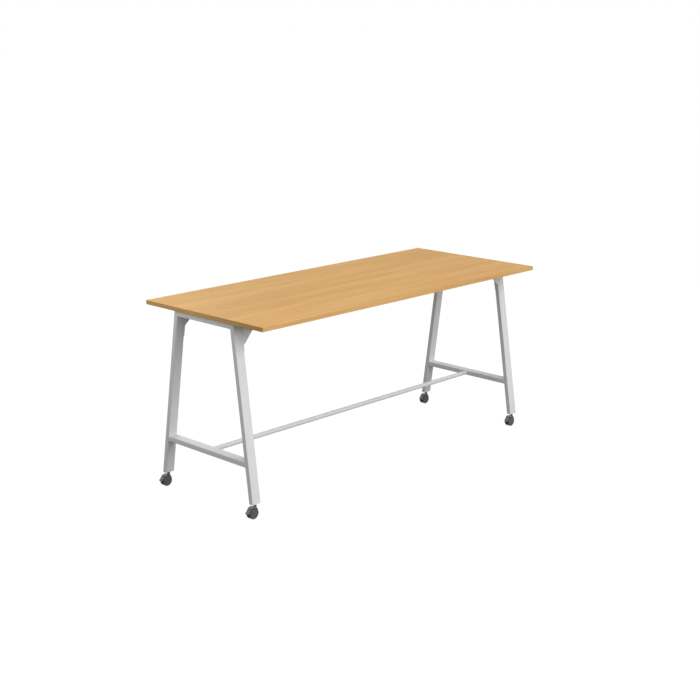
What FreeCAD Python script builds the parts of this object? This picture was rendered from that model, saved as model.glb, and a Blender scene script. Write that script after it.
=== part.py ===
import FreeCAD, Part
import math
import os

# High table on casters. Millimetres, +Z up, X along the length, Y across the width.
# The origin lies on the floor, under the middle of the table top.

# Table top
table_length = 2400.0
table_width = 1000.0
table_height = 1100.0
top_thickness = 25.0
laminate_thickness = 0.8
band_thickness = 2.0
band_edge_radius = 0.8

# Tube of the end frames
tube_width = 60.0
tube_depth = 30.0
tube_wall = 2.0
tube_corner_radius = 3.0

# End frames
end_overhang = 8.0
side_overhang = 248.25
leg_splay_deg = 8.11
leg_foot_height = 81.0
lower_rail_center = 298.0

# Corner brackets
bracket_sheet = 3.0
bracket_reach = 127.0
bracket_drop = 118.0
bracket_step = 11.0
bracket_tail = 160.0
bracket_flange = 32.0
bracket_inset = 0.6

# Foot bar
foot_bar_diameter = 28.0
foot_bar_wall = 2.0
bar_spigot_length = 30.0

# Beams under the table top
beam_size = 30.0
beam_wall = 2.0
beam_inset = 101.75
beam_plate_width = 84.0
beam_plate_sheet = 5.0

# Foot plugs
plug_height = 14.0

# Casters
wheel_diameter = 64.0
wheel_width = 10.5
wheel_gap = 14.0
wheel_shoulder = 1.5
axle_diameter = 6.0
axle_engagement = 8.0
caster_trail = 19.5
web_clearance = 0.75
axle_cover = 9.0
stem_thread_diameter = 10.0
stem_thread_length = 13.0
stem_collar_flats = 16.0
stem_collar_height = 4.0
stem_pin_diameter = 8.0
stem_pin_length = 30.0
stem_pin_wall = 2.5
neck_diameter = 18.0
hood_clearance = 1.4
hood_sheet = 2.2
hood_front_deg = 36.0
hood_rear_deg = 116.0
pedal_pivot_deg = 124.0
pedal_knuckle_radius = 3.4
pedal_pin_diameter = 3.0
pedal_width = 28.0
pedal_end_deg = 174.0
pedal_hinge_rise = 2.8
pedal_hinge_start_deg = 121.0
pedal_hinge_end_deg = 130.0
pedal_slot_end_deg = 132.0
pedal_tip_width = 22.0
pedal_tip_rise = 10.0
pedal_tip_deg = 9.0

# Clearances
seat_clearance = 0.1
running_clearance = 0.05
swivel_gap = 0.4
side_gap = 0.35

# Sizes that follow from those above
underside = table_height - top_thickness
frame_face = table_length / 2 - end_overhang
frame_inside = frame_face - tube_width
frame_middle = frame_face - tube_width / 2
splay = math.radians(leg_splay_deg)
leg_level_depth = tube_depth / math.cos(splay)
wheel_radius = wheel_diameter / 2
web_half = wheel_gap / 2 - web_clearance
caster_half_width = wheel_gap / 2 + wheel_width
hood_inner = wheel_radius + hood_clearance
hood_outer = hood_inner + hood_sheet
collar_bottom = leg_foot_height - stem_collar_height
pin_foot = collar_bottom - stem_pin_length

X_AXIS = FreeCAD.Vector(1, 0, 0)
Y_AXIS = FreeCAD.Vector(0, 1, 0)
Z_AXIS = FreeCAD.Vector(0, 0, 1)
ORIGIN = FreeCAD.Vector(0, 0, 0)
ENDS = {"left": -1, "right": 1}
SIDES = {"front": -1, "back": 1}
CORNERS = [(end, side) for end in ENDS for side in SIDES]


def vec(x, y, z):
    return FreeCAD.Vector(x, y, z)


def box(x_range, y_range, z_range):
    """Block between two places on each axis, given in either order."""
    low = vec(min(x_range), min(y_range), min(z_range))
    high = vec(max(x_range), max(y_range), max(z_range))
    size = high - low
    return Part.makeBox(size.x, size.y, size.z, low)


def rod(radius, start, direction, length):
    return Part.makeCylinder(radius, length, start, direction)


def polygon(points):
    return Part.Face(Part.makePolygon(points + points[:1]))


def edges_along(shape, direction):
    return [e for e in shape.Edges if abs(e.tangentAt(e.FirstParameter).dot(direction)) > 0.99]


def upright_bar(width, depth, radius, length):
    """Bar with round corners, standing on the XY plane about the Z axis."""
    block = box((-width / 2, width / 2), (-depth / 2, depth / 2), (0, length))
    return block.makeFillet(radius, edges_along(block, Z_AXIS))


def upright_tube(width, depth, wall, length):
    bar = upright_bar(width, depth, tube_corner_radius, length)
    inside = (width / 2 - wall, depth / 2 - wall)
    return bar.cut(box((-inside[0], inside[0]), (-inside[1], inside[1]), (0, length)))


# End frames


def leg_outside(z):
    """Distance from the middle plane to the outer face of a leg, at a height."""
    return table_width / 2 - side_overhang + math.tan(splay) * (underside - z)


def leg_inside(z):
    return leg_outside(z) - leg_level_depth


def stem_place(end, side):
    return end * frame_middle, side * (leg_outside(leg_foot_height) - leg_level_depth / 2)


def lean_as_leg(bar, end, side, bottom, top):
    """Leans an upright bar into the line of a leg and cuts it level at both ends."""
    leaning = bar.copy()
    leaning.translate(vec(0, 0, -table_height))
    leaning.rotate(ORIGIN, X_AXIS, side * leg_splay_deg)
    head = leg_outside(underside) - leg_level_depth / 2
    leaning.translate(vec(end * frame_middle, side * head, underside))
    all_round = (-table_length, table_length)
    return leaning.common(box(all_round, all_round, (bottom, top)))


def leg(end, side):
    tube = upright_tube(tube_width, tube_depth, tube_wall, 2 * table_height)
    return lean_as_leg(tube, end, side, leg_foot_height, underside)


def cross_rail(end, center):
    """Tube across the width, its ends cut to the slope of the two legs."""
    rail = upright_tube(tube_width, tube_depth, tube_wall, table_width)
    rail.translate(vec(0, 0, -table_width / 2))
    rail.rotate(ORIGIN, X_AXIS, 90)
    rail.translate(vec(end * frame_middle, 0, center))
    bottom = center - tube_depth / 2
    top = center + tube_depth / 2
    corners = [(bottom, -1), (bottom, 1), (top, 1), (top, -1)]
    gap = polygon([vec(-table_length, side * leg_inside(z), z) for z, side in corners])
    return rail.common(gap.extrude(X_AXIS * 2 * table_length))


def top_rail(end):
    return cross_rail(end, underside - tube_depth / 2)


def lower_rail(end):
    return cross_rail(end, lower_rail_center)


def foot_plug(end, side):
    """Block in the lower end of a leg, with an upright threaded hole for the caster's stem."""
    gap = tube_wall + seat_clearance
    bar = box((gap - tube_width / 2, tube_width / 2 - gap), (gap - tube_depth / 2, tube_depth / 2 - gap),
              (0, 2 * table_height))
    block = lean_as_leg(bar, end, side, leg_foot_height, leg_foot_height + plug_height)
    x, y = stem_place(end, side)
    return block.cut(rod(stem_thread_diameter / 2 + running_clearance, vec(x, y, 0), Z_AXIS, table_height))


# Corner brackets


def leaning_slab(outer_offset, inner_offset, side, x_range, bottom):
    """Slab parallel to a leg's outer face, from a height up to the underside of the board."""
    foot = [(bottom, inner_offset), (bottom, outer_offset)]
    head = [(underside, outer_offset), (underside, inner_offset)]
    section = polygon([vec(min(x_range), side * (leg_outside(z) - offset), z) for z, offset in foot + head])
    return section.extrude(X_AXIS * (max(x_range) - min(x_range)))


def corner_bracket(end, side):
    """Bent sheet: a web in line with the leg's outer face, a flange on the leg, one under the board."""
    web_inside = bracket_inset + bracket_sheet / math.cos(splay)
    outline = [(0, 0), (bracket_reach, 0), (bracket_step, bracket_drop), (0, bracket_drop)]
    web = polygon([vec(end * (frame_inside - x), -table_width, underside - z) for x, z in outline])
    web = web.extrude(Y_AXIS * 2 * table_width)
    along = (end * frame_inside, end * (frame_inside - bracket_reach))
    web = web.common(leaning_slab(bracket_inset, web_inside, side, along, underside - bracket_drop))
    on_leg = (end * frame_inside, end * (frame_inside - bracket_sheet))
    flange_edge = leg_level_depth - bracket_inset
    leg_flange = leaning_slab(bracket_inset, flange_edge, side, on_leg, underside - bracket_tail)
    bend = leg_outside(underside) - web_inside
    under_board = (side * (bend + bracket_sheet / 2), side * (bend - bracket_flange))
    top_flange = box(along, under_board, (underside - bracket_sheet, underside))
    return web.fuse([leg_flange, top_flange]).removeSplitter()


# Foot bar


def foot_bar():
    start = vec(-frame_inside, 0, lower_rail_center)
    outside = rod(foot_bar_diameter / 2, start, X_AXIS, 2 * frame_inside)
    return outside.cut(rod(foot_bar_diameter / 2 - foot_bar_wall, start, X_AXIS, 2 * frame_inside))


def bar_spigot(end):
    """Stub on the inner face of a lower rail, inside the end of the foot bar."""
    start = vec(end * frame_inside, 0, lower_rail_center)
    radius = foot_bar_diameter / 2 - foot_bar_wall - running_clearance
    return rod(radius, start, X_AXIS * -end, bar_spigot_length)


# Beams under the table top


def beam_line(side):
    """Middle of a beam, set in from the outer face of the legs under the board."""
    return side * (leg_outside(underside) - beam_inset)


def beam(side):
    length = 2 * (frame_inside - beam_plate_sheet)
    tube = upright_tube(beam_size, beam_size, beam_wall, length)
    tube.translate(vec(0, 0, -length / 2))
    tube.rotate(ORIGIN, Y_AXIS, 90)
    tube.translate(vec(0, beam_line(side), underside - beam_size / 2))
    return tube


def beam_plate(end, side):
    y = beam_line(side)
    x_range = (end * frame_inside, end * (frame_inside - beam_plate_sheet))
    y_range = (y - beam_plate_width / 2, y + beam_plate_width / 2)
    return box(x_range, y_range, (underside - beam_size, underside))


# Table top


def edge_band(x_range, y_range, outward, reach):
    """Strip on one side of the board, with its two long outer edges rounded."""
    band = box(x_range, y_range, (underside, table_height))
    outer = []
    for edge in band.Edges:
        level = abs(edge.tangentAt(edge.FirstParameter).z) < 0.5
        if level and abs(edge.CenterOfMass.dot(outward) - reach) < band_thickness / 2:
            outer.append(edge)
    return band.makeFillet(band_edge_radius, outer)


def table_top():
    half_length = table_length / 2
    half_width = table_width / 2
    length = (band_thickness - half_length, half_length - band_thickness)
    width = (band_thickness - half_width, half_width - band_thickness)
    core_bottom = underside + laminate_thickness
    core_top = table_height - laminate_thickness
    pieces = {
        "top_laminate": box(length, width, (core_top, table_height)),
        "top_core": box(length, width, (core_bottom, core_top)),
        "backing_laminate": box(length, width, (underside, core_bottom)),
    }
    for end, sign in ENDS.items():
        x_range = (sign * half_length, sign * (half_length - band_thickness))
        y_range = (-half_width, half_width)
        pieces["edge_band_" + end] = edge_band(x_range, y_range, X_AXIS * sign, half_length)
    for side, sign in SIDES.items():
        y_range = (sign * half_width, sign * (half_width - band_thickness))
        pieces["edge_band_" + side] = edge_band(length, y_range, Y_AXIS * sign, half_width)
    return pieces


# Casters, made about a stem on the Z axis with the wheels trailing toward -X


def polar(radius, degrees):
    """Point in the wheels' plane, at an angle from straight ahead over the top to the rear."""
    turn = math.radians(degrees)
    return vec(radius * math.cos(turn) - caster_trail, 0, radius * math.sin(turn) + wheel_radius)


def across(face, half_width):
    """Plate with a side outline, centred between the wheels."""
    outline = face.copy()
    outline.translate(vec(0, -half_width, 0))
    return outline.extrude(Y_AXIS * 2 * half_width)


def cross_rod(center, radius, half_width):
    return rod(radius, vec(center.x, -half_width, center.z), Y_AXIS, 2 * half_width)


def arc(radius, start_deg, end_deg):
    middle_deg = (start_deg + end_deg) / 2
    return Part.Arc(polar(radius, start_deg), polar(radius, middle_deg), polar(radius, end_deg)).toShape()


def sector(radius, start_deg, end_deg):
    first = Part.makeLine(polar(0, 0), polar(radius, start_deg))
    last = Part.makeLine(polar(radius, end_deg), polar(0, 0))
    return Part.Face(Part.Wire([first, arc(radius, start_deg, end_deg), last]))


def web_outline():
    """Plate between the wheels: round under the hood, straight down to a flat foot below the axle."""
    radius = hood_inner + hood_sheet / 2
    front = polar(radius, hood_front_deg)
    rear = polar(radius, pedal_pivot_deg)
    front_foot = polar(0, 0) + vec(axle_cover, 0, -axle_cover)
    rear_foot = polar(0, 0) + vec(-axle_cover, 0, -axle_cover)
    sides = [
        Part.makeLine(rear, rear_foot),
        Part.makeLine(rear_foot, front_foot),
        Part.makeLine(front_foot, front),
    ]
    return Part.Face(Part.Wire([arc(radius, hood_front_deg, pedal_pivot_deg)] + sides))


def curved_cover(sheet, half_width, start_deg, end_deg):
    """Cover that follows the treads at the hood's clearance."""
    outer = hood_inner + sheet
    first = Part.makeLine(polar(hood_inner, start_deg), polar(outer, start_deg))
    last = Part.makeLine(polar(outer, end_deg), polar(hood_inner, end_deg))
    edges = [first, arc(outer, start_deg, end_deg), last, arc(hood_inner, start_deg, end_deg)]
    return across(Part.Face(Part.Wire(Part.__sortEdges__(edges))), half_width)


def wheel(side):
    """Moulded wheel with a bevelled shoulder and a blind bore for the axle."""
    inner = wheel_gap / 2
    outer = inner + wheel_width
    bore = axle_diameter / 2 + running_clearance
    bore_end = inner + axle_engagement + running_clearance
    outline = [
        (inner, bore),
        (inner, wheel_radius),
        (outer - wheel_shoulder, wheel_radius),
        (outer, wheel_radius - wheel_shoulder),
        (outer, 0),
        (bore_end, 0),
        (bore_end, bore),
    ]
    section = polygon([vec(0, y, radius) for y, radius in outline])
    solid = section.revolve(ORIGIN, Y_AXIS, 360)
    if side < 0:
        solid.rotate(ORIGIN, Z_AXIS, 180)
    solid.translate(polar(0, 0))
    return solid


def caster_stem():
    """Threaded stem with a hexagon collar below the leg and a plain swivel pin."""
    corner = stem_collar_flats / math.sqrt(3)
    turns = [math.radians(60 * i) for i in range(6)]
    hexagon = polygon([vec(corner * math.cos(t), corner * math.sin(t), collar_bottom) for t in turns])
    collar = hexagon.extrude(Z_AXIS * stem_collar_height)
    thread = rod(stem_thread_diameter / 2, vec(0, 0, leg_foot_height), Z_AXIS, stem_thread_length)
    pin = rod(stem_pin_diameter / 2, vec(0, 0, pin_foot), Z_AXIS, stem_pin_length)
    return collar.fuse([thread, pin])


def caster_axle():
    return cross_rod(polar(0, 0), axle_diameter / 2, wheel_gap / 2 + axle_engagement)


def pedal_pivot():
    return polar(hood_outer, pedal_pivot_deg)


def caster_body():
    """Web between the wheels, hood over the treads, neck for the stem and knuckle for the pedal."""
    column = stem_pin_diameter / 2 + stem_pin_wall
    web = across(web_outline(), web_half)
    post_height = (pin_foot - stem_pin_wall, collar_bottom - neck_diameter)
    post = box((-column, column), (-web_half, web_half), post_height)
    neck_height = collar_bottom - swivel_gap - wheel_radius
    neck = rod(neck_diameter / 2, vec(0, 0, wheel_radius), Z_AXIS, neck_height)
    neck = neck.cut(cross_rod(polar(0, 0), hood_inner, caster_half_width))
    hood = curved_cover(hood_sheet, caster_half_width, hood_front_deg, hood_rear_deg)
    knuckle = cross_rod(pedal_pivot(), pedal_knuckle_radius, web_half)
    body = web.fuse([post, neck, hood, knuckle]).removeSplitter()
    pin_radius = stem_pin_diameter / 2 + running_clearance
    pin_bore = rod(pin_radius, vec(0, 0, pin_foot - swivel_gap), Z_AXIS, table_height)
    axle_bore = cross_rod(polar(0, 0), axle_diameter / 2 + running_clearance, caster_half_width)
    pivot_bore = cross_rod(pedal_pivot(), pedal_pin_diameter / 2 + running_clearance, caster_half_width)
    return body.cut([pin_bore, axle_bore, pivot_bore])


def brake_pedal():
    """Curved lever behind the hood: a slotted hinge ridge on a pin, a plate and a raised tip."""
    slot_half = web_half + side_gap
    tip_start_deg = pedal_end_deg - pedal_tip_deg
    plate = curved_cover(hood_sheet, pedal_width / 2, pedal_hinge_start_deg, pedal_end_deg)
    ridge_sheet = hood_sheet + pedal_hinge_rise
    ridge = curved_cover(ridge_sheet, pedal_width / 2, pedal_hinge_start_deg, pedal_hinge_end_deg)
    tip = curved_cover(hood_sheet + pedal_tip_rise, pedal_tip_width / 2, tip_start_deg, pedal_end_deg)
    slot = across(sector(2 * hood_outer, hood_rear_deg, pedal_slot_end_deg), slot_half)
    lever = plate.fuse([ridge, tip]).cut(slot)
    pin = cross_rod(pedal_pivot(), pedal_pin_diameter / 2, (slot_half + pedal_width / 2) / 2)
    return lever.fuse(pin).removeSplitter()


def on_corner(template, end, side):
    piece = template.copy()
    x, y = stem_place(ENDS[end], SIDES[side])
    piece.translate(vec(x, y, 0))
    return piece


def casters():
    moving = {
        "body": caster_body(),
        "axle": caster_axle(),
        "wheel_front": wheel(-1),
        "wheel_back": wheel(1),
        "pedal": brake_pedal(),
    }
    pieces = {}
    for end, side in CORNERS:
        for name, template in moving.items():
            pieces["caster_" + name + "_" + end + "_" + side] = on_corner(template, end, side)
    stem = caster_stem()
    pieces["caster_stems"] = Part.makeCompound([on_corner(stem, end, side) for end, side in CORNERS])
    return pieces


def end_frames():
    pieces = {}
    for end, sign in ENDS.items():
        pieces["top_rail_" + end] = top_rail(sign)
        pieces["lower_rail_" + end] = lower_rail(sign)
    for end, side in CORNERS:
        corner = end + "_" + side
        signs = (ENDS[end], SIDES[side])
        pieces["leg_" + corner] = leg(*signs)
        pieces["bracket_" + corner] = corner_bracket(*signs)
        pieces["beam_plate_" + corner] = beam_plate(*signs)
    pieces["foot_plugs"] = Part.makeCompound([foot_plug(ENDS[end], SIDES[side]) for end, side in CORNERS])
    return pieces


def ties():
    pieces = {"beam_" + side: beam(sign) for side, sign in SIDES.items()}
    pieces["foot_bar"] = foot_bar()
    pieces["bar_spigots"] = Part.makeCompound([bar_spigot(sign) for sign in ENDS.values()])
    return pieces


os.makedirs("parts", exist_ok=True)
for group in (table_top(), end_frames(), ties(), casters()):
    for node, shape in group.items():
        shape.exportStep("parts/" + node + ".step")
        print(node, len(shape.Solids), "solids", round(shape.Volume / 1000, 1), "cm3", shape.isValid())
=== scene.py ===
# %% [markdown]
# # A high table on casters
# The table has a wood-grain board on two white end frames, a round foot bar between them and four
# twin-wheel casters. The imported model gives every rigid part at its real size. This lesson dresses
# it: light, camera, finishes, and the small pieces that the solids leave plain.

import math

import bmesh
import bpy
from mathutils import Matrix, Vector


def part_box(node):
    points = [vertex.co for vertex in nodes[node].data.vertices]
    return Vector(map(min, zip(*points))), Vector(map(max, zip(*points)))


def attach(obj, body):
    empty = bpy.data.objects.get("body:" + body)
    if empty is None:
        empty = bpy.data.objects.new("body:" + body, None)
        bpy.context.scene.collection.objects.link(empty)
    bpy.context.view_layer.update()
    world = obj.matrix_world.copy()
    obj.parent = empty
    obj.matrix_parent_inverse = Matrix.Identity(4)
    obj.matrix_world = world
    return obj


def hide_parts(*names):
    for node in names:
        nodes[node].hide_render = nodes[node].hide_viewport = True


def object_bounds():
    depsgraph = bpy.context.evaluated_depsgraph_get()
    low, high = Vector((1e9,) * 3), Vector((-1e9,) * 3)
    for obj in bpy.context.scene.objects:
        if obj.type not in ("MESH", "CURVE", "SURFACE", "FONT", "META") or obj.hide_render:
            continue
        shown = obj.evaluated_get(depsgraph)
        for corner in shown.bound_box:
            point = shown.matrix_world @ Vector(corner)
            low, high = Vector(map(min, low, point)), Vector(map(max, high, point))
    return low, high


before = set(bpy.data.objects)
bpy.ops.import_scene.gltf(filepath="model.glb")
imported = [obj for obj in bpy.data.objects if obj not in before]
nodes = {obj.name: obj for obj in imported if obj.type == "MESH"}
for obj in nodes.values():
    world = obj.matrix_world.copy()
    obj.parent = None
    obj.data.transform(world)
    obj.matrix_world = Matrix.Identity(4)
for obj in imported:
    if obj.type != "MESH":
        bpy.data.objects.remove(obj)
cad_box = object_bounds()
print("loaded", len(nodes), "nodes, box", [round(v, 3) for v in cad_box[1] - cad_box[0]])

# %% [markdown]
# ## The camera
# The table is seen from above its near corner, through a long lens, so far edges stay almost
# parallel to near ones. The table stands above the middle of the picture. Tilting the camera further
# down would put it there too, but its legs would then lean, so the lens is shifted a little downward
# instead, as an architect's camera is.

# %% Place the camera
VIEW_AZIMUTH = math.radians(-46.135)
VIEW_ELEVATION = math.radians(9.956)
VIEW_DISTANCE = 8.1466
AIM_POINT = Vector((-0.0470, -0.0318, 1.3423))
SENSOR_WIDTH_MM = 36.0
FOCAL_LENGTH_MM = 68.57
LENS_SHIFT = -0.15

toward_camera = Vector((
    math.sin(VIEW_AZIMUTH) * math.cos(VIEW_ELEVATION),
    -math.cos(VIEW_AZIMUTH) * math.cos(VIEW_ELEVATION),
    math.sin(VIEW_ELEVATION),
))
bpy.ops.object.camera_add(location=AIM_POINT + toward_camera * VIEW_DISTANCE)
camera = bpy.context.object
camera.rotation_euler = (-toward_camera).to_track_quat("-Z", "Y").to_euler()
camera.data.sensor_width = SENSOR_WIDTH_MM
camera.data.lens = FOCAL_LENGTH_MM
camera.data.shift_y = LENS_SHIFT
bpy.context.scene.camera = camera
print("camera at", [round(v, 2) for v in camera.location])

# %% [markdown]
# ## Shader expressions
# A finish is a small network of nodes. It could be wired node by node, but written as expressions it
# stays readable: a `Value` wraps one socket, arithmetic on it adds Math nodes, and `Finish.node`
# makes every other kind of node.

# %% Value
class Value:
    """One output socket; arithmetic on it adds Math nodes."""

    def __init__(self, finish, socket):
        self.finish = finish
        self.socket = socket

    def math(self, operation, first, second):
        return self.finish.node("ShaderNodeMath", {"operation": operation}, {0: first, 1: second})

    def __add__(self, other):
        return self.math("ADD", self, other)

    def __radd__(self, other):
        return self.math("ADD", other, self)

    def __sub__(self, other):
        return self.math("SUBTRACT", self, other)

    def __rsub__(self, other):
        return self.math("SUBTRACT", other, self)

    def __mul__(self, other):
        return self.math("MULTIPLY", self, other)

    def __rmul__(self, other):
        return self.math("MULTIPLY", other, self)

    def maximum(self, other):
        return self.math("MAXIMUM", self, other)


print("values can be added, subtracted, multiplied and compared")

# %% Finish
class Finish:
    """A node tree with one method that makes any node."""

    def __init__(self, owner):
        owner.use_nodes = True
        self.owner = owner
        self.tree = owner.node_tree

    def node(self, kind, settings=None, sockets=None, output=0):
        made = self.tree.nodes.new(kind)
        for name, value in (settings or {}).items():
            if name == "stops":
                self.set_stops(made.color_ramp, value)
            else:
                setattr(made, name, value)
        for name, value in (sockets or {}).items():
            self.put(made.inputs[name], value)
        return Value(self, made.outputs[output])

    def put(self, socket, value):
        if isinstance(value, Value):
            self.tree.links.new(value.socket, socket)
        else:
            socket.default_value = value

    def set_stops(self, ramp, stops):
        while len(ramp.elements) < len(stops):
            ramp.elements.new(0.5)
        for element, (place, colour) in zip(ramp.elements, stops):
            element.position = place
            element.color = (*colour, 1.0)

    def surface(self, **sockets):
        shader = self.tree.nodes["Principled BSDF"]
        for name, value in sockets.items():
            self.put(shader.inputs[name.replace("_", " ")], value)

    def noise(self, per_metre, detail=3.0, roughness=0.5):
        """Noise on object coordinates, with a number of features per metre for each axis."""
        place = self.node("ShaderNodeTexCoord", output="Object")
        scaled = self.node("ShaderNodeMapping", sockets={"Vector": place, "Scale": per_metre})
        sockets = {"Vector": scaled, "Scale": 1.0, "Detail": detail, "Roughness": roughness}
        return self.node("ShaderNodeTexNoise", sockets=sockets)

    def ramp(self, factor, stops):
        return self.node("ShaderNodeValToRGB", {"stops": stops}, {"Fac": factor})

    def mask(self, factor, low, high):
        """0 up to a low level, 1 from a high one, and a straight slope between them."""
        return self.ramp(factor, [(low, (0, 0, 0)), (high, (1, 1, 1))])

    def tint(self, colour, by, amount):
        """Colour multiplied by a tint, as far as the amount says."""
        settings = {"data_type": "RGBA", "blend_type": "MULTIPLY"}
        return self.node("ShaderNodeMix", settings, {0: amount, 6: colour, 7: by}, output=2)

    def bump(self, height, depth, strength):
        """Normal from a height of 0 to 1 that stands for a depth in metres."""
        sockets = {"Strength": strength, "Distance": depth, "Height": height}
        return self.node("ShaderNodeBump", sockets=sockets)


print("finishes can hold noise, ramps, masks, tints and bumps")

# %% Dressing
def new_finish(name):
    return Finish(bpy.data.materials.new(name))


def dress(objects, *finishes):
    """Gives each object these finishes; a face's material number picks one of them."""
    for target in objects:
        if target.data.materials:
            target.data.materials.clear()
        for finish in finishes:
            target.data.materials.append(finish.owner)


def nodes_named(*starts):
    """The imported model's nodes whose names start in one of these ways."""
    return [nodes[name] for name in nodes if name.startswith(starts)]


print("ready to dress", len(nodes), "nodes")

# %% [markdown]
# ## Studio
# A pale studio: an even sky, a broad panel along the table's near side with a smaller one by the near
# corner, a weak fill by the end, a weak one behind, and soft light from above. Panels at a few metres
# make the legs a little darker toward the floor, which distant suns would not. The camera and
# reflections see plain white behind the table, while the light on the table stays at a level where a
# colour renders about as it is written. The floor is mostly that white too, with enough plain shading
# left in it to keep a faint shadow under the table.

# %% World
SKY_LIGHT = 0.275
WHITE = (1.0, 1.0, 1.0, 1.0)


def looked_at(finish):
    """1 where the camera, a reflection or glass looks, and 0 where light falls on the table."""
    seen = finish.node("ShaderNodeLightPath", output="Is Camera Ray")
    for ray in ("Is Glossy Ray", "Is Transmission Ray"):
        seen = seen.maximum(finish.node("ShaderNodeLightPath", output=ray))
    return seen


world = bpy.data.worlds.new("studio")
bpy.context.scene.world = world
sky = Finish(world)
background = sky.tree.nodes["Background"]
sky.put(background.inputs["Color"], WHITE)
sky.put(background.inputs["Strength"], SKY_LIGHT + (1.0 - SKY_LIGHT) * looked_at(sky))
bpy.context.scene.view_settings.view_transform = "Standard"
print("sky light", SKY_LIGHT)

# %% Floor
FLOOR_SIZE = 80.0
FLOOR_DROP = 0.0005
FLOOR_GREY = (0.20, 0.20, 0.20, 1.0)
FLOOR_WHITE_SHARE = 0.86
FLOOR_GLOW = 1.075

bpy.ops.object.select_all(action="DESELECT")
bpy.ops.mesh.primitive_plane_add(size=FLOOR_SIZE, location=(0, 0, cad_box[0].z - FLOOR_DROP))
floor = bpy.context.object
floor.name = "floor"
paper = new_finish("floor_paper")
lit = paper.node("ShaderNodeBsdfDiffuse", sockets={"Color": FLOOR_GREY})
pale = paper.node("ShaderNodeBsdfDiffuse", sockets={"Color": WHITE})
glow = paper.node("ShaderNodeEmission", sockets={"Color": WHITE, "Strength": FLOOR_GLOW})
shown = paper.node("ShaderNodeMixShader", sockets={0: FLOOR_WHITE_SHARE, 1: pale, 2: glow})
mixed = paper.node("ShaderNodeMixShader", sockets={0: looked_at(paper), 1: lit, 2: shown})
paper.put(paper.tree.nodes["Material Output"].inputs["Surface"], mixed)
dress([floor], paper)
print("floor", FLOOR_SIZE, "m square")

# %% Panels
PANELS = {
    "key_along_the_side": {"place": (0.8, -6.0, 3.5), "aim": (0.0, 0.0, 0.6), "size": 4.0, "watts": 220},
    "key_by_the_corner": {"place": (-1.5, -3.2, 2.2), "aim": (0.0, 0.0, 0.6), "size": 2.0, "watts": 18},
    "fill_by_the_end": {"place": (-2.2, 0.9, 1.7), "aim": (-1.2, 0.0, 0.7), "size": 1.0, "watts": 6},
    "rim_from_behind": {"place": (0.5, 4.0, 2.5), "aim": (0.0, 0.0, 1.0), "size": 3.0, "watts": 36},
}

for name, lamp in PANELS.items():
    place = Vector(lamp["place"])
    bpy.ops.object.light_add(type="AREA", location=place)
    panel = bpy.context.object
    panel.name = name
    panel.rotation_euler = (Vector(lamp["aim"]) - place).to_track_quat("-Z", "Y").to_euler()
    panel.data.size = lamp["size"]
    panel.data.energy = lamp["watts"]
    panel.visible_camera = False
    print("panel", name, lamp["watts"], "W")

# %% Light from above
OVERHEAD_TOWARD = Vector((0.0, -0.15, 0.99))
OVERHEAD_DISTANCE = 4
OVERHEAD_STRENGTH = 0.945
OVERHEAD_SPREAD = math.radians(100)

bpy.ops.object.light_add(type="SUN", location=OVERHEAD_TOWARD * OVERHEAD_DISTANCE)
overhead = bpy.context.object
overhead.name = "soft_from_above"
overhead.rotation_euler = OVERHEAD_TOWARD.to_track_quat("Z", "Y").to_euler()
overhead.data.energy = OVERHEAD_STRENGTH
overhead.data.angle = OVERHEAD_SPREAD
print("light", overhead.name, OVERHEAD_STRENGTH)

# %% [markdown]
# ## Modelling by hand
# New pieces start from a primitive and are shaped in edit mode, as a person would do it. Faces and
# edges are found by where they are or which way they look, then an operator acts on the selection.
# A finished piece has its place written into its mesh, and its object stays at the origin, so that
# a pattern on object coordinates lies still on it.

# %% Selecting
FACING = 0.9
DOWN = Vector((0, 0, -1))


def only(piece):
    """Selects one object and nothing else."""
    bpy.ops.object.select_all(action="DESELECT")
    piece.select_set(True)
    bpy.context.view_layer.objects.active = piece


def facing(direction):
    """Test for pick_faces: the face looks in one direction."""
    return lambda centre, normal: normal.dot(direction) > FACING


def pick_faces(piece, wanted):
    """Selects the faces whose centre and normal are wanted, in edit mode."""
    bpy.ops.mesh.select_mode(type="FACE")
    mesh = bmesh.from_edit_mesh(piece.data)
    for face in mesh.faces:
        face.select_set(wanted(face.calc_center_median(), face.normal))
    bmesh.update_edit_mesh(piece.data)


def pick_edges(piece, wanted):
    """Selects the edges whose two ends are both wanted, in edit mode."""
    bpy.ops.mesh.select_mode(type="EDGE")
    mesh = bmesh.from_edit_mesh(piece.data)
    for edge in mesh.edges:
        edge.select_set(all(wanted(corner.co) for corner in edge.verts))
    bmesh.update_edit_mesh(piece.data)


def pick_vertices(piece, wanted):
    """Selects the vertices whose place is wanted, in edit mode."""
    bpy.ops.mesh.select_mode(type="VERT")
    mesh = bmesh.from_edit_mesh(piece.data)
    for corner in mesh.verts:
        corner.select_set(wanted(corner.co))
    bmesh.update_edit_mesh(piece.data)


print("a face looks along a direction when the cosine between them is above", FACING)

# %% Editing
SMOOTH_DEG = 35.0


def editing(piece):
    """Opens a piece in edit mode with nothing selected."""
    only(piece)
    bpy.ops.object.mode_set(mode="EDIT")
    bpy.ops.mesh.select_all(action="DESELECT")


def leave_editing(piece, angle_deg=SMOOTH_DEG):
    """Closes edit mode and shades smooth across every edge flatter than an angle."""
    bpy.ops.object.mode_set(mode="OBJECT")
    only(piece)
    bpy.ops.object.shade_smooth_by_angle(angle=math.radians(angle_deg))


def apply_place(piece):
    """Writes an object's place, turn and size into its mesh."""
    only(piece)
    bpy.ops.object.transform_apply(location=True, rotation=True, scale=True)


def apply_modifier(piece, kind, **settings):
    """Adds one modifier and makes its result the piece's mesh."""
    only(piece)
    modifier = piece.modifiers.new(kind.lower(), kind)
    for name, value in settings.items():
        setattr(modifier, name, value)
    bpy.ops.object.modifier_apply(modifier=modifier.name)


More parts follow.
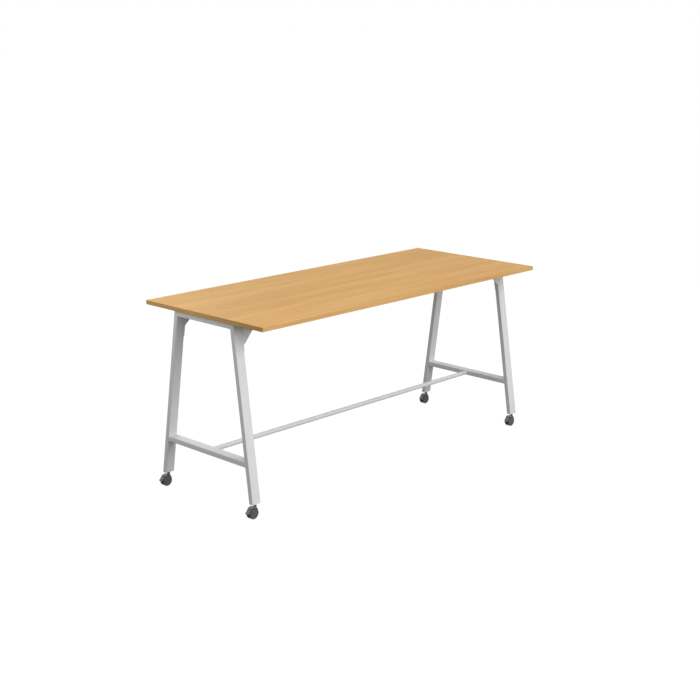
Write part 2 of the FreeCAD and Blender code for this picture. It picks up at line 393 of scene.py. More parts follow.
def round_edges(piece, width, segments):
    """Bevels every edge sharper than the smoothing angle and shades the rest smooth."""
    apply_modifier(piece, "BEVEL", width=width, segments=segments, limit_method="ANGLE",
                   angle_limit=math.radians(SMOOTH_DEG))
    leave_editing(piece)


print("edges sharper than", SMOOTH_DEG, "degrees stay crisp or are bevelled")

# %% Starting, joining and copying
QUARTER_TURN = math.radians(90)
ORIGIN = (0, 0, 0)
UNTURNED = Matrix.Identity(4)


def begin(add, **settings):
    """Adds one primitive with nothing else selected, and writes its place into the mesh."""
    bpy.ops.object.select_all(action="DESELECT")
    add(**settings)
    piece = bpy.context.object
    apply_place(piece)
    return piece


def rod(sides, radius, length, middle=ORIGIN, across=False):
    """Cylinder that stands upright, or lies across the table."""
    turn = (QUARTER_TURN, 0, 0) if across else ORIGIN
    return begin(bpy.ops.mesh.primitive_cylinder_add, vertices=sides, radius=radius, depth=length,
                 location=middle, rotation=turn)


def block(size, middle=ORIGIN, turn=ORIGIN):
    """Box of a size, turned about its middle and set in place."""
    piece = begin(bpy.ops.mesh.primitive_cube_add, size=1.0)
    piece.scale = size
    piece.rotation_euler = turn
    piece.location = middle
    apply_place(piece)
    return piece


def join(pieces):
    """Makes several pieces one mesh, under the first one's name."""
    bpy.ops.object.select_all(action="DESELECT")
    for piece in pieces:
        piece.select_set(True)
    bpy.context.view_layer.objects.active = pieces[0]
    bpy.ops.object.join()
    return pieces[0]


def set_copy(pattern, name, place, turn=UNTURNED):
    """Copy of a finished piece with its own mesh, turned and moved inside that mesh."""
    piece = bpy.data.objects.new(name, pattern.data.copy())
    bpy.context.scene.collection.objects.link(piece)
    piece.data.transform(Matrix.Translation(place) @ turn)
    return piece


def remove(piece):
    """Deletes a pattern or a cutter that has done its work."""
    bpy.data.objects.remove(piece, do_unlink=True)


print("modelling helpers ready")

# %% [markdown]
# ## Caster wheels
# A twin-wheel caster carries two moulded wheels. Each has a soft black tread with a well-rounded outer
# shoulder, a shallow dish in its grey outer face and a flat hub cap at the middle. One wheel is
# modelled about the origin from a cylinder, by insets and short moves inward or outward, and copied
# to the eight places. It could be spun from a profile just as well, but insets keep the rings easy
# to move. The faces of the tread get a material number of their own.

# %% Wheel
WHEEL_RADIUS = 0.032
WHEEL_WIDTH = 0.0105
WHEEL_SIDES = 72
WHEEL_SMOOTH_DEG = 30.0
TREAD_DEPTH = 0.003
OUTWARD = Vector((0, -1, 0))
FACE_RINGS = [
    {"flat": 0.0078, "slope": 0.0009, "sink": 0.0014},
    {"flat": 0.0120, "slope": 0.0007, "sink": -0.0010},
    {"flat": 0.0050, "slope": 0.0006, "sink": 0.0006},
]
SHOULDERS = [
    {"side": -1, "width": 0.0038, "segments": 5},
    {"side": 1, "width": 0.0012, "segments": 2},
]
NEAR = 1e-5


def on_rim(side):
    """Test for pick_edges: the wheel's rim on its outer side, -1, or its inner side, 1."""
    return lambda co: co.y * side > WHEEL_WIDTH / 2 - NEAR and co.xz.length > WHEEL_RADIUS - NEAR


wheel = rod(WHEEL_SIDES, WHEEL_RADIUS, WHEEL_WIDTH, across=True)
editing(wheel)
pick_faces(wheel, facing(OUTWARD))
for ring in FACE_RINGS:
    bpy.ops.mesh.inset(thickness=ring["flat"])
    bpy.ops.mesh.inset(thickness=ring["slope"])
    bpy.ops.transform.translate(value=(0, ring["sink"], 0))
for shoulder in SHOULDERS:
    pick_edges(wheel, on_rim(shoulder["side"]))
    bpy.ops.mesh.bevel(offset=shoulder["width"], segments=shoulder["segments"], affect="EDGES")
leave_editing(wheel, WHEEL_SMOOTH_DEG)
for face in wheel.data.polygons:
    face.material_index = int(face.center.xz.length > WHEEL_RADIUS - TREAD_DEPTH)
print("wheel", len(wheel.data.polygons), "faces")

# %% Wheels in place
END_SIGN = {"left": -1, "right": 1}
SIDE_SIGN = {"front": -1, "back": 1}
CORNERS = [end + "_" + side for end in END_SIGN for side in SIDE_SIGN]
HALF_TURN = Matrix.Rotation(math.radians(180), 4, "Z")

caster_wheels = []
for corner in CORNERS:
    for side, sign in SIDE_SIGN.items():
        node = "caster_wheel_" + side + "_" + corner
        low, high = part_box(node)
        turn = HALF_TURN if sign > 0 else UNTURNED
        piece = set_copy(wheel, "moulded_wheel_" + side + "_" + corner, (low + high) / 2, turn)
        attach(piece, "wheel_" + side + "_" + corner)
        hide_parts(node)
        caster_wheels.append(piece)
remove(wheel)
print(len(caster_wheels), "wheels")

# %% [markdown]
# ## Caster shells
# The shell is one moulding: a hood that follows the treads, a neck that flares into the hood, a web
# between the wheels and the knuckle of the brake. The neck is given a darker grey, which is painted
# shade under the leg. The hood is a rounded section spun round the axle, which keeps its clearance to
# the wheels exact; bending a flat strip would not. The web starts as a disc and is bisected down to its
# outline. The parts overlap inside the moulding, where nobody sees them, so they are simply joined.

# %% Swept strips
CASTER_TRAIL = 0.0195
AXLE = Vector((-CASTER_TRAIL, 0, WHEEL_RADIUS))
STRIP_STEP_DEG = 4
STRIP_ROUNDING = 3


def round_axle(radius, degrees):
    """Place beside the axle, at an angle from straight ahead over the top to the rear."""
    turn = math.radians(degrees)
    return AXLE + Vector((radius * math.cos(turn), 0, radius * math.sin(turn)))


def swept_strip(inner, outer, half_width, start_deg, end_deg, corner, edge):
    """Strip that follows the treads: a section with round outer corners, spun about the axle."""
    middle = (inner + outer) / 2
    strip = begin(bpy.ops.mesh.primitive_plane_add, size=1.0)
    strip.scale = (outer - inner, 2 * half_width, 1)
    strip.rotation_euler = (0, -math.radians(start_deg), 0)
    strip.location = round_axle(middle, start_deg)
    apply_place(strip)
    editing(strip)
    pick_vertices(strip, lambda co: (co - AXLE).xz.length > middle)
    bpy.ops.mesh.bevel(offset=corner, segments=STRIP_ROUNDING, affect="VERTICES")
    bpy.ops.mesh.select_all(action="SELECT")
    turn_deg = end_deg - start_deg
    steps = max(2, round(turn_deg / STRIP_STEP_DEG))
    bpy.ops.mesh.spin(steps=steps, angle=math.radians(turn_deg), center=AXLE, axis=(0, 1, 0))
    bpy.ops.mesh.select_all(action="DESELECT")
    bpy.ops.mesh.select_non_manifold()
    bpy.ops.mesh.edge_face_add()
    bpy.ops.mesh.select_all(action="SELECT")
    bpy.ops.mesh.normals_make_consistent(inside=False)
    leave_editing(strip)
    round_edges(strip, edge, STRIP_ROUNDING)
    return strip


print("axle", [round(v * 1000, 1) for v in AXLE], "mm from the floor below the stem")

# %% Hood
HOOD_INNER = 0.0334
HOOD_OUTER = 0.0356
HOOD_HALF = 0.0175
HOOD_FRONT_DEG = 36
HOOD_REAR_DEG = 116

hood = swept_strip(HOOD_INNER, HOOD_OUTER, HOOD_HALF, HOOD_FRONT_DEG, HOOD_REAR_DEG,
                   corner=0.0013, edge=0.0006)
print("hood", len(hood.data.polygons), "faces, box", [round(v * 1000, 1) for v in hood.dimensions])

# %% Neck
NECK_RADIUS = 0.009
NECK_TOP = 0.0766
NECK_COLLAR = 0.003
NECK_SIDES = 40
NECK_ROUNDING = 0.0008
NECK_RINGS = [
    {"radius": 0.0092, "place": (0.0, 0.0, 0.0685), "tilt": math.radians(12)},
    {"radius": 0.0101, "place": (-0.0004, 0.0, 0.0643), "tilt": math.radians(24)},
    {"radius": 0.0126, "place": (-0.0012, 0.0, 0.0599), "tilt": math.radians(33)},
]

neck = rod(NECK_SIDES, NECK_RADIUS, NECK_COLLAR, (0, 0, NECK_TOP - NECK_COLLAR / 2))
editing(neck)
pick_faces(neck, facing(DOWN))
place = Vector((0, 0, NECK_TOP - NECK_COLLAR))
tilt = 0.0
radius = NECK_RADIUS
for ring in NECK_RINGS:
    step = Vector(ring["place"]) - place
    bpy.ops.mesh.extrude_region_move(TRANSFORM_OT_translate={"value": step})
    place = Vector(ring["place"])
    grow = ring["radius"] / radius
    bpy.ops.transform.resize(value=(grow, grow, grow), center_override=place)
    bpy.ops.transform.rotate(value=tilt - ring["tilt"], orient_axis="Y", center_override=place)
    tilt = ring["tilt"]
    radius = ring["radius"]
pick_edges(neck, lambda co: co.z > NECK_TOP - NEAR)
bpy.ops.mesh.bevel(offset=NECK_ROUNDING, segments=3, affect="EDGES")
leave_editing(neck)
# The mark picks the neck's faces for the darker grey, which is painted shade under the leg.
neck_mark = neck.data.attributes.new("neck", "BOOLEAN", "FACE")
neck_mark.data.foreach_set("value", [True] * len(neck.data.polygons))
print("neck", len(neck.data.polygons), "faces, box", [round(v * 1000, 1) for v in neck.dimensions])

# %% Web and knuckle
WEB_HALF = 0.00625
WEB_RADIUS = 0.0345
WEB_SIDES = 72
AXLE_COVER = 0.009
PIVOT_DEG = 124
PIVOT = round_axle(HOOD_OUTER, PIVOT_DEG)
KNUCKLE_RADIUS = 0.0034
KNUCKLE_SIDES = 32

web = rod(WEB_SIDES, WEB_RADIUS, 2 * WEB_HALF, AXLE, across=True)
front_foot = AXLE + Vector((AXLE_COVER, 0, -AXLE_COVER))
rear_foot = AXLE + Vector((-AXLE_COVER, 0, -AXLE_COVER))
front_edge = round_axle(WEB_RADIUS, HOOD_FRONT_DEG) - front_foot
rear_edge = round_axle(WEB_RADIUS, PIVOT_DEG) - rear_foot
cuts = [
    (front_foot, DOWN),
    (front_foot, Vector((front_edge.z, 0, -front_edge.x)).normalized()),
    (rear_foot, Vector((-rear_edge.z, 0, rear_edge.x)).normalized()),
]
editing(web)
for place, away in cuts:
    bpy.ops.mesh.select_all(action="SELECT")
    bpy.ops.mesh.bisect(plane_co=place, plane_no=away, use_fill=True, clear_outer=True)
leave_editing(web)
round_edges(web, width=0.0008, segments=2)
knuckle = rod(KNUCKLE_SIDES, KNUCKLE_RADIUS, 2 * WEB_HALF, PIVOT, across=True)
round_edges(knuckle, width=0.0006, segments=2)
print("web", len(web.data.polygons), "faces, knuckle", len(knuckle.data.polygons))

# %% Shell
shell = join([hood, neck, web, knuckle])
shell.name = "shell_pattern"
leave_editing(shell)
neck_mark = shell.data.attributes["neck"]
neck_faces = [face for face, mark in zip(shell.data.polygons, neck_mark.data) if mark.value]
# The neck's faces take the second finish, a darker grey that is painted shade under the leg.
for face in neck_faces:
    face.material_index = 1
shell.data.attributes.remove(neck_mark)
print("shell", len(shell.data.polygons), "faces,", len(neck_faces), "of them on the neck")

# %% [markdown]
# ## Brake pedals
# The pedal is a curved plate behind the hood, hinged on a pin through the knuckle. A slot makes room
# for the knuckle, and two barrels beside it carry the pin. Plate and end lip follow the treads like
# the hood, so they are the same kind of swept strip; cut from a block, they would not keep one
# distance to the wheels. On top lies a straight toe pad that rises from the hinge to the lip, with
# three low ribs for grip. The pad is a thin bar whose inner edge at the lip is pulled in until it
# meets the plate, which makes a wedge.

# %% Pedal plate
PEDAL_HALF = 0.014
PEDAL_FRONT_DEG = 121
PEDAL_REAR_DEG = 174
SLOT_HALF = 0.0066
SLOT_HEIGHT = 0.012
SLOT_LENGTH = 0.0145
SLOT_ROUNDING = 0.0015

plate = swept_strip(HOOD_INNER, HOOD_OUTER, PEDAL_HALF, PEDAL_FRONT_DEG, PEDAL_REAR_DEG,
                    corner=0.0011, edge=0.0005)
slot_place = round_axle(HOOD_OUTER, PEDAL_FRONT_DEG)
slot_turn = (0, -math.radians(PEDAL_FRONT_DEG), 0)
cutter = block((SLOT_HEIGHT, 2 * SLOT_HALF, SLOT_LENGTH), slot_place, slot_turn)
round_edges(cutter, SLOT_ROUNDING, segments=3)
apply_modifier(plate, "BOOLEAN", operation="DIFFERENCE", object=cutter, solver="EXACT")
remove(cutter)
print("pedal plate", len(plate.data.polygons), "faces")

# %% Lip
LIP_HALF = 0.011
LIP_INNER = HOOD_INNER + 0.0002
LIP_OUTER = HOOD_OUTER + 0.0100
LIP_FRONT_DEG = 165

lip = swept_strip(LIP_INNER, LIP_OUTER, LIP_HALF, LIP_FRONT_DEG, PEDAL_REAR_DEG,
                  corner=0.0014, edge=0.0007)
print("lip", len(lip.data.polygons), "faces")

# %% Toe pad
TOE_HINGE = round_axle(radius=0.0358, degrees=133)
TOE_TIP = round_axle(radius=0.0445, degrees=168)
TOE_ROOT = round_axle(radius=0.0350, degrees=168)
TOE_SKIN = 0.0008
TOE_HALF = LIP_HALF - 0.0006
TOE_ROUNDING = 0.0007

toe_run = TOE_HINGE - TOE_TIP
toe_turn = Matrix.Rotation(math.atan2(-toe_run.z, toe_run.x), 4, "Y")
toe_outward = toe_turn @ Vector((0, 0, 1))
inner_tip = TOE_TIP - toe_outward * TOE_SKIN
pad_middle = (TOE_HINGE + TOE_TIP - toe_outward * TOE_SKIN) / 2
pad = block((toe_run.length, 2 * TOE_HALF, TOE_SKIN), pad_middle, toe_turn.to_euler())
editing(pad)
pick_vertices(pad, lambda co: (co - inner_tip).xz.length < TOE_SKIN / 2)
bpy.ops.transform.translate(value=TOE_ROOT - inner_tip)
leave_editing(pad)
round_edges(pad, TOE_ROUNDING, segments=3)
print("toe pad", round(toe_run.length * 1000, 1), "mm long")

# %% Ribs
RIB_SHARES = (0.30, 0.48, 0.66)
RIB_LENGTH = 0.0013
RIB_HEIGHT = 0.0014
RIB_HALF = TOE_HALF - 0.0010
RIB_ROUNDING = 0.0003

ribs = []
for share in RIB_SHARES:
    rib_middle = TOE_HINGE.lerp(TOE_TIP, share)
    rib = block((RIB_LENGTH, 2 * RIB_HALF, RIB_HEIGHT), rib_middle, toe_turn.to_euler())
    round_edges(rib, RIB_ROUNDING, segments=2)
    ribs.append(rib)
print(len(ribs), "ribs")

# %% Hinge barrels
BARREL_RADIUS = 0.0028
BARREL_SIDES = 32
BARREL_LENGTH = PEDAL_HALF - SLOT_HALF
BARREL_ROUNDING = 0.0002
PIN_RING = 0.0013
PIN_SINK = 0.0005

barrels = []
for sign in SIDE_SIGN.values():
    middle = Vector((0, sign * (SLOT_HALF + PEDAL_HALF) / 2, 0))
    barrel = rod(BARREL_SIDES, BARREL_RADIUS, BARREL_LENGTH, PIVOT + middle, across=True)
    editing(barrel)
    pick_faces(barrel, facing(Vector((0, sign, 0))))
    bpy.ops.mesh.inset(thickness=PIN_RING)
    bpy.ops.mesh.extrude_region_move(TRANSFORM_OT_translate={"value": (0, -sign * PIN_SINK, 0)})
    leave_editing(barrel)
    round_edges(barrel, BARREL_ROUNDING, segments=2)
    barrels.append(barrel)
pedal = join([plate, lip, pad] + ribs + barrels)
pedal.name = "pedal_pattern"
leave_editing(pedal)
print("pedal", len(pedal.data.polygons), "faces")

# %% Shells and pedals in place
caster_shells = []
for corner in CORNERS:
    axle_low, axle_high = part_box("caster_axle_" + corner)
    place = (axle_low + axle_high) / 2 - AXLE
    for pattern, kind, body in ((shell, "body", "caster_"), (pedal, "pedal", "pedal_")):
        piece = set_copy(pattern, "moulded_" + kind + "_" + corner, place)
        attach(piece, body + corner)
        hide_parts("caster_" + kind + "_" + corner)
        caster_shells.append(piece)
remove(shell)
remove(pedal)
print(len(caster_shells), "shells and pedals")

# %% [markdown]
# ## Brackets
# A bracket is bent from sheet, and as a solid its edges are as sharp as the drawing. It could be
# modelled anew, but a copy of its mesh keeps every size. The copy has its loose triangles merged into
# flat faces, and a bevel then breaks every edge, so that the edges catch the light as pressed and
# painted ones do.

# %% Softened copies
MERGE_WITHIN = 0.00002
FLAT_WITHIN = math.radians(1.0)
BRACKET_ROUNDING = 0.0006


def softened(node, name):
    """Copy of a node with every sharp edge broken."""
    piece = set_copy(nodes[node], name, Vector())
    only(piece)
    bpy.ops.mesh.customdata_custom_splitnormals_clear()
    editing(piece)
    bpy.ops.mesh.select_all(action="SELECT")
    bpy.ops.mesh.remove_doubles(threshold=MERGE_WITHIN)
    bpy.ops.mesh.dissolve_limited(angle_limit=FLAT_WITHIN)
    leave_editing(piece)
    round_edges(piece, BRACKET_ROUNDING, segments=2)
    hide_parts(node)
    return piece


pressed_brackets = []
for corner in CORNERS:
    piece = softened("bracket_" + corner, "pressed_bracket_" + corner)
    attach(piece, "frame")
    pressed_brackets.append(piece)
print(len(pressed_brackets), "brackets")

# %% [markdown]
# ## Fasteners
# Three kinds of fastener hold the table together. Pan-head screws with a cross recess hold the board
# to the brackets and beams, hexagon bolts with washers hold the beams' end plates to the top rails,
# and a socket screw under each end of the foot bar grips the spigot inside. Plain discs would pass
# from afar, but not from below the board. Each kind is modelled once at the origin, with its head
# pointing down the Z axis, and copied.

# %% Board screw
SCREW_RADIUS = 0.0044
SCREW_HEIGHT = 0.0028
SCREW_SIDES = 24
SCREW_DOME = 0.0020
RECESS_WIDTH = 0.0013
RECESS_ARM = 0.0015

cutter = begin(bpy.ops.mesh.primitive_cube_add, size=RECESS_WIDTH, location=(0, 0, -SCREW_HEIGHT))
editing(cutter)
pick_faces(cutter, lambda centre, normal: abs(normal.z) < FACING)
bpy.ops.mesh.extrude_faces_move(TRANSFORM_OT_shrink_fatten={"value": RECESS_ARM})
leave_editing(cutter)
screw = rod(SCREW_SIDES, SCREW_RADIUS, SCREW_HEIGHT, (0, 0, -SCREW_HEIGHT / 2))
editing(screw)
pick_edges(screw, lambda co: co.z < -SCREW_HEIGHT + NEAR)
bpy.ops.mesh.bevel(offset=SCREW_DOME, segments=4, affect="EDGES")
leave_editing(screw)
apply_modifier(screw, "BOOLEAN", operation="DIFFERENCE", object=cutter, solver="EXACT")
leave_editing(screw)
remove(cutter)
print("board screw", len(screw.data.polygons), "faces")

# %% Board screws in place
BEAM_LINE = 0.15
SCREW_ROWS = [
    {"along": (1.035, 1.100), "beside": 0.232, "level": 1.072},
    {"along": (0.28, 0.88), "beside": BEAM_LINE, "level": 1.045},
]
SCREW_TURN_DEG = 37

screw_places = []
for row in SCREW_ROWS:
    for x in row["along"]:
        for end in END_SIGN.values():
            for side in SIDE_SIGN.values():
                screw_places.append(Vector((x * end, row["beside"] * side, row["level"])))
fasteners = []
for i, place in enumerate(screw_places):
    turn = Matrix.Rotation(math.radians(SCREW_TURN_DEG * i), 4, "Z")
    fasteners.append(set_copy(screw, "board_screw_" + str(i + 1), place, turn))
remove(screw)
print(len(fasteners), "board screws")

# %% Plate bolt
HEXAGON = 6
BOLT_FLATS = 0.010
BOLT_HEAD = 0.0042
WASHER_RADIUS = 0.0082
WASHER_THICKNESS = 0.0014
WASHER_SIDES = 32


def crown(piece, chamfer, lift):
    """Chamfers the lower face of a fastener in edit mode; that face stays selected."""
    pick_faces(piece, facing(DOWN))
    bpy.ops.mesh.inset(thickness=chamfer)
    bpy.ops.transform.translate(value=(0, 0, -lift))


bolt_middle = (0, 0, -WASHER_THICKNESS - BOLT_HEAD / 2)
bolt = rod(HEXAGON, BOLT_FLATS / math.sqrt(3), BOLT_HEAD, bolt_middle)
editing(bolt)
crown(bolt, chamfer=0.0007, lift=0.0004)
leave_editing(bolt)
washer = rod(WASHER_SIDES, WASHER_RADIUS, WASHER_THICKNESS, (0, 0, -WASHER_THICKNESS / 2))
editing(washer)
crown(washer, chamfer=0.0004, lift=0.0002)
leave_editing(washer)
bolt = join([bolt, washer])
leave_editing(bolt)
print("plate bolt", len(bolt.data.polygons), "faces with its washer")

# %% Plate bolts in place
PLATE_FACE = 1.127
PLATE_MIDDLE = 1.060
BOLT_OFFSET = 0.029

plate_bolts = []
for end in END_SIGN.values():
    turn = Matrix.Rotation(QUARTER_TURN * end, 4, "Y")
    for side in SIDE_SIGN.values():
        for step in (-1, 1):
            place = Vector((PLATE_FACE * end, BEAM_LINE * side + BOLT_OFFSET * step, PLATE_MIDDLE))
            name = "plate_bolt_" + str(len(plate_bolts) + 1)
            plate_bolts.append(set_copy(bolt, name, place, turn))
remove(bolt)
fasteners += plate_bolts
print(len(plate_bolts), "plate bolts")

# %% Bar screws
BAR_UNDERSIDE = 0.284
BAR_SCREW_LINE = 1.117
SOCKET_RADIUS = 0.0030
SOCKET_LENGTH = 0.0030
SOCKET_SIDES = 24
SOCKET_MIDDLE = 0.0007
SOCKET_WALL = 0.0011
SOCKET_DEPTH = 0.0016

socket_screw = rod(SOCKET_SIDES, SOCKET_RADIUS, SOCKET_LENGTH, (0, 0, SOCKET_MIDDLE))
editing(socket_screw)
crown(socket_screw, chamfer=0.0004, lift=0.0003)
bpy.ops.mesh.inset(thickness=SOCKET_WALL)
bpy.ops.mesh.extrude_region_move(TRANSFORM_OT_translate={"value": (0, 0, SOCKET_DEPTH)})
leave_editing(socket_screw)
for end, sign in END_SIGN.items():
    place = Vector((BAR_SCREW_LINE * sign, 0, BAR_UNDERSIDE))
    fasteners.append(set_copy(socket_screw, "bar_screw_" + end, place))
remove(socket_screw)
for piece in fasteners:
    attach(piece, "frame")
print(len(fasteners), "fasteners in all")

# %% [markdown]
# ## Weld beads
# The rails are welded between the legs and painted over. A bead is a low rounded collar round the
# end of a rail, leaning with the leg. It could be swept along the rail's outline, but a thin box with
# rounded edges, sunk partly into the leg, shows the same collar with fewer faces. Under the board
# it stops flush with the top of the rail.

# %% Weld bead
RAIL_WIDTH = 0.060
RAIL_HEIGHT = 0.030
BEAD = 0.0016
BEAD_STANDS_OUT = 0.6 * BEAD
BEAD_CORNER = 0.0036
BEAD_ROUNDING = 0.0011


def pick_edges_along(piece, direction):
    """Selects the edges that run along one direction, in edit mode."""
    bpy.ops.mesh.select_mode(type="EDGE")
    mesh = bmesh.from_edit_mesh(piece.data)
    for edge in mesh.edges:
        run = edge.verts[1].co - edge.verts[0].co
        edge.select_set(abs(run.dot(direction)) > FACING * run.length)
    bmesh.update_edit_mesh(piece.data)


bead = block((RAIL_WIDTH + 2 * BEAD_STANDS_OUT, 2 * BEAD, RAIL_HEIGHT + 2 * BEAD_STANDS_OUT))
editing(bead)
pick_edges_along(bead, OUTWARD)
bpy.ops.mesh.bevel(offset=BEAD_CORNER, segments=4, affect="EDGES")
leave_editing(bead)
round_edges(bead, BEAD_ROUNDING, segments=3)
print("weld bead", len(bead.data.polygons), "faces")

# %% Weld beads in place
SPLAY = math.radians(8.11)
LEG_TOP = 1.075
LEG_TOP_OUTSIDE = 0.25175
LEG_THICKNESS = 0.030
RAIL_LINE = 1.162
RAIL_LEVELS = {"lower": 0.298, "top": 1.060 - BEAD_STANDS_OUT}
BEAD_OFF_LEG = 0.4 * BEAD


def leg_inner_face(z):
    """How far from the table's middle line a leg's inner face lies at a height."""
    return LEG_TOP_OUTSIDE + math.tan(SPLAY) * (LEG_TOP - z) - LEG_THICKNESS / math.cos(SPLAY)


welds = []
for name, z in RAIL_LEVELS.items():
    for end, end_sign in END_SIGN.items():
        for side, sign in SIDE_SIGN.items():
            place = Vector((RAIL_LINE * end_sign, sign * (leg_inner_face(z) - BEAD_OFF_LEG), z))
            turn = Matrix.Rotation(sign * SPLAY, 4, "X")
            piece = set_copy(bead, "weld_" + name + "_" + end + "_" + side, place, turn)
            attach(piece, "frame")
            welds.append(piece)
remove(bead)
print(len(welds), "weld beads")

# %% [markdown]
# ## Wood-grain laminate
# The board is faced with a printed laminate in pale oak: long fine streaks, slow drifts of tone from
# board to board, short dark pores, and a faint blush here and there. A picture of oak would repeat
# and blur from close by, so noise that is stretched far along the grain gives all of them. The edge
# strips carry the same print, along their own length and a shade cooler, as plastic strips beside a
# laminate are.

# %% Oak
OAK_DARK = (0.630, 0.349, 0.114)
OAK_MIDDLE = (0.723, 0.423, 0.148)
OAK_PALE = (0.792, 0.482, 0.180)
OAK_LEVELS = (0.40, 0.50, 0.60)
OAK_BLUSH = (1.0, 0.960, 0.935, 1.0)
DRIFT = {"along": 0.6, "across": 11.0, "detail": 2.0, "roughness": 0.50, "share": 0.26}
FIGURE = {"along": 1.7, "across": 60.0, "detail": 4.0, "roughness": 0.70, "share": 0.46}
STREAK = {"along": 4.0, "across": 520.0, "detail": 3.0, "roughness": 0.65, "share": 0.28}
PORE = {"along": 55.0, "across": 2300.0, "detail": 1.0, "roughness": 0.50, "share": 0.10}
WARMTH = {"along": 1.1, "across": 9.0, "detail": 3.0, "roughness": 0.50}
STREAK_RELIEF = 0.4
PORE_RELIEF = 0.6
PRINT_RELIEF = 0.00006


def grain_noise(finish, axis, grain):
    """Noise with its slow direction on one axis."""
    per_metre = tuple(grain["along"] if axis == i else grain["across"] for i in range(3))
    return finish.noise(per_metre, grain["detail"], grain["roughness"])


def wood_finish(name, axis, cast):
    """Oak with its grain along one axis and a colour cast."""
    finish = new_finish(name)
    drift = grain_noise(finish, axis, DRIFT)
    figure = grain_noise(finish, axis, FIGURE)
    streak = grain_noise(finish, axis, STREAK)
    pore_mask = finish.mask(grain_noise(finish, axis, PORE), low=0.60, high=0.70)
    warm_mask = finish.mask(grain_noise(finish, axis, WARMTH), low=0.38, high=0.62)
    tone = drift * DRIFT["share"] + figure * FIGURE["share"] + streak * STREAK["share"]
    tone = tone - pore_mask * PORE["share"]
    shades = [tuple(Vector(shade) * Vector(cast)) for shade in (OAK_DARK, OAK_MIDDLE, OAK_PALE)]
    oak = finish.ramp(tone, list(zip(OAK_LEVELS, shades)))
    relief = streak * STREAK_RELIEF + (1.0 - pore_mask) * PORE_RELIEF
    finish.surface(
        Base_Color=finish.tint(oak, OAK_BLUSH, warm_mask),
        Roughness=0.50 + 0.16 * streak,
        Normal=finish.bump(relief, PRINT_RELIEF, strength=0.5),
        Specular_IOR_Level=0.12,
    )
    return finish


print("oak from", OAK_DARK, "to", OAK_PALE)

# %% Sheets and edge strips
ALONG_TABLE = 0
ACROSS_TABLE = 1
SHEET_CAST = (1.0, 1.0, 1.0)
STRIP_CAST = (0.97, 1.0, 1.08)

sheet_wood = wood_finish("oak_laminate", ALONG_TABLE, SHEET_CAST)
long_strip_wood = wood_finish("oak_edge_strip", ALONG_TABLE, STRIP_CAST)
end_strip_wood = wood_finish("oak_edge_strip_ends", ACROSS_TABLE, STRIP_CAST)
dress([nodes["top_laminate"], nodes["backing_laminate"]], sheet_wood)
dress([nodes["edge_band_front"], nodes["edge_band_back"]], long_strip_wood)
dress([nodes["edge_band_left"], nodes["edge_band_right"]], end_strip_wood)
print("wood on", sum(f.owner.users for f in (sheet_wood, long_strip_wood, end_strip_wood)), "pieces")

# %% [markdown]
# ## Board core
# Between the two sheets lies particle board. It is closed in on all sides, so its finish only
# matters when the board is taken apart. One coarse noise, flattened as pressed chips are, gives both
# the two tones and the roughness to the touch.

# %% Particle board
CHIP_DARK = (0.36, 0.25, 0.14)
CHIP_PALE = (0.62, 0.48, 0.31)
CHIPS_PER_METRE = (140.0, 140.0, 420.0)
CHIP_RELIEF = 0.0004

chips = new_finish("particle_board")
flake = chips.noise(CHIPS_PER_METRE, detail=2.0)
chips.surface(
    Base_Color=chips.ramp(flake, [(0.35, CHIP_DARK), (0.62, CHIP_PALE)]),
    Roughness=0.85,
    Normal=chips.bump(flake, CHIP_RELIEF, strength=0.6),
)
dress([nodes["top_core"]], chips)
print("particle board on top_core")

# %% [markdown]
# ## White powder coat
# The tubes, brackets and beams are steel under a white powder coat. Baked powder is not quite flat:
# it has a fine ripple, like orange peel, and its gloss drifts a little. Both are far smaller than a
# pixel from here, so a plain white would do, but they break up the highlights when the camera comes
# close.

# %% Powder coat
COAT_SHADE = (0.770, 0.770, 0.766)
COAT_WHITE = (0.800, 0.800, 0.796)
PEEL_PER_METRE = (620.0, 620.0, 620.0)
PEEL_RELIEF = 0.00005
CLOUDS_PER_METRE = (7.0, 7.0, 7.0)

coat = new_finish("white_powder_coat")
peel = coat.noise(PEEL_PER_METRE, detail=2.0)
cloud = coat.noise(CLOUDS_PER_METRE, detail=2.0)
coat.surface(
    Base_Color=coat.ramp(cloud, [(0.35, COAT_SHADE), (0.65, COAT_WHITE)]),
    Roughness=0.40 + 0.14 * cloud,
    Normal=coat.bump(peel, PEEL_RELIEF, strength=0.6),
    Specular_IOR_Level=0.25,
)
painted = nodes_named("leg_", "top_rail_", "lower_rail_", "bracket_", "beam_", "foot_bar", "bar_")
dress(painted + pressed_brackets + welds, coat)
print("powder coat on", len(painted), "nodes")

# %% [markdown]
# ## Plated steel
# Axles, threaded plugs and screws are steel with bright zinc plating: a metal with a faint blue cast,
# streaked from rolling and a little cloudy. The casters' stems are the same steel with a black
# passivation, so they hardly show between leg and neck. An even metal would mirror the studio too
# cleanly, so noise varies both its colour and its roughness.

# %% Zinc
ZINC_DARK = (0.50, 0.52, 0.55)
ZINC_PALE = (0.66, 0.67, 0.69)
ZINC_CLOUDS_PER_METRE = (90.0, 90.0, 90.0)
SCRATCHES_PER_METRE = (400.0, 400.0, 3000.0)
PLATING_RELIEF = 0.00003

zinc = new_finish("zinc_plated_steel")
cloudiness = zinc.noise(ZINC_CLOUDS_PER_METRE, detail=3.0)
scratches = zinc.noise(SCRATCHES_PER_METRE, detail=2.0)
zinc.surface(
    Base_Color=zinc.ramp(cloudiness, [(0.3, ZINC_DARK), (0.7, ZINC_PALE)]),
    Roughness=0.26 + 0.18 * scratches,
    Metallic=1.0,
    Normal=zinc.bump(scratches, PLATING_RELIEF, strength=0.5),
)
plated = nodes_named("foot_plugs", "caster_axle_")
dress(plated + fasteners, zinc)
print("zinc on", len(plated), "nodes and", len(fasteners), "fasteners")

# %% Dark stems
STEM_DARK = (0.10, 0.10, 0.105)
STEM_PALE = (0.16, 0.16, 0.165)
BLOOM_PER_METRE = (140.0, 140.0, 140.0)

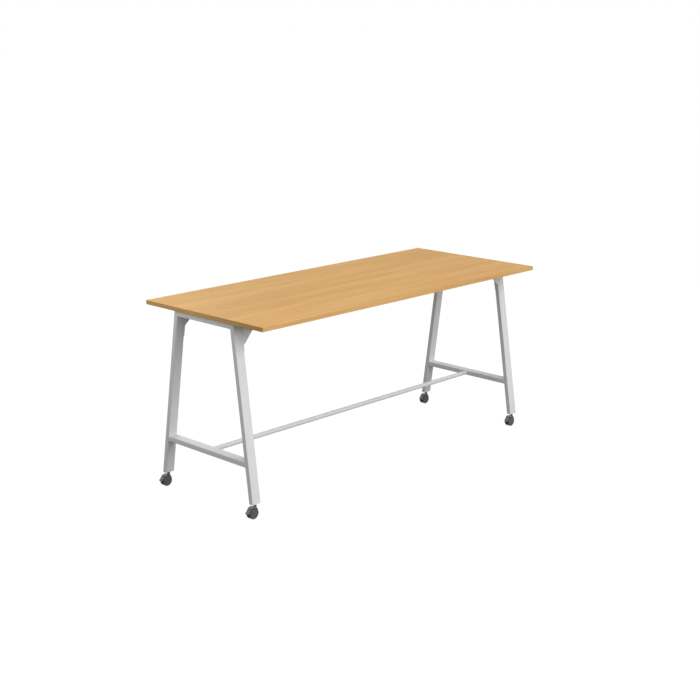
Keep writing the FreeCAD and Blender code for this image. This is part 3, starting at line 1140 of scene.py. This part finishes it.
dark_steel = new_finish("black_passivated_steel")
bloom = dark_steel.noise(BLOOM_PER_METRE, detail=3.0)
dark_steel.surface(
    Base_Color=dark_steel.ramp(bloom, [(0.3, STEM_DARK), (0.7, STEM_PALE)]),
    Roughness=0.34 + 0.16 * bloom,
    Metallic=1.0,
    Normal=dark_steel.bump(bloom, PLATING_RELIEF, strength=0.5),
)
dress([nodes["caster_stems"]], dark_steel)
print("dark steel on the stems")

# %% [markdown]
# ## Caster plastics
# Each caster is moulded in greys: a mid-grey hood, web and brake pedal, and dark wheels with a softer,
# nearly black tread. The neck is given a darker grey, which is painted shade under the leg. The mould
# leaves a fine even grain, and handling leaves slightly smoother patches. All four are the same plastic
# in another shade, so one function makes them.

# %% Moulded plastic
MOULD_GRAIN_PER_METRE = (2600.0, 2600.0, 2600.0)
MOULD_RELIEF = 0.00004
PATCHES_PER_METRE = (45.0, 45.0, 45.0)


def moulded_finish(name, dark, pale, roughness):
    """Moulded plastic between two shades."""
    finish = new_finish(name)
    grain = finish.noise(MOULD_GRAIN_PER_METRE, detail=2.0)
    patch = finish.noise(PATCHES_PER_METRE, detail=3.0)
    finish.surface(
        Base_Color=finish.ramp(patch, [(0.35, dark), (0.65, pale)]),
        Roughness=roughness + 0.12 * patch,
        Normal=finish.bump(grain, MOULD_RELIEF, strength=0.7),
        Specular_IOR_Level=0.4,
    )
    return finish


print("moulded plastic,", MOULD_GRAIN_PER_METRE[0], "grains per metre")

# %% Shades of the casters
SHELL_DARK = (0.178, 0.178, 0.179)
SHELL_PALE = (0.220, 0.220, 0.221)
# The neck's darker grey is painted shade: it stands for the shade under the leg above.
NECK_PAINTED_SHADE_DARK = (0.080, 0.080, 0.081)
NECK_PAINTED_SHADE_PALE = (0.102, 0.102, 0.103)
WHEEL_DARK = (0.078, 0.078, 0.079)
WHEEL_PALE = (0.102, 0.102, 0.103)
TREAD_DARK = (0.024, 0.024, 0.024)
TREAD_PALE = (0.034, 0.034, 0.034)

shell_grey = moulded_finish("moulded_mid_grey", SHELL_DARK, SHELL_PALE, roughness=0.48)
neck_painted_shade_grey = moulded_finish("neck_grey_with_painted_shade", NECK_PAINTED_SHADE_DARK, NECK_PAINTED_SHADE_PALE, roughness=0.46)
wheel_grey = moulded_finish("moulded_dark_grey", WHEEL_DARK, WHEEL_PALE, roughness=0.52)
tread_black = moulded_finish("soft_black_tread", TREAD_DARK, TREAD_PALE, roughness=0.66)
shells = nodes_named("caster_body_", "caster_pedal_")
wheels = nodes_named("caster_wheel_")
dress(shells + caster_shells, shell_grey, neck_painted_shade_grey)
dress(wheels + caster_wheels, wheel_grey, tread_black)
print("greys on", len(shells), "shells and", len(wheels), "wheels")
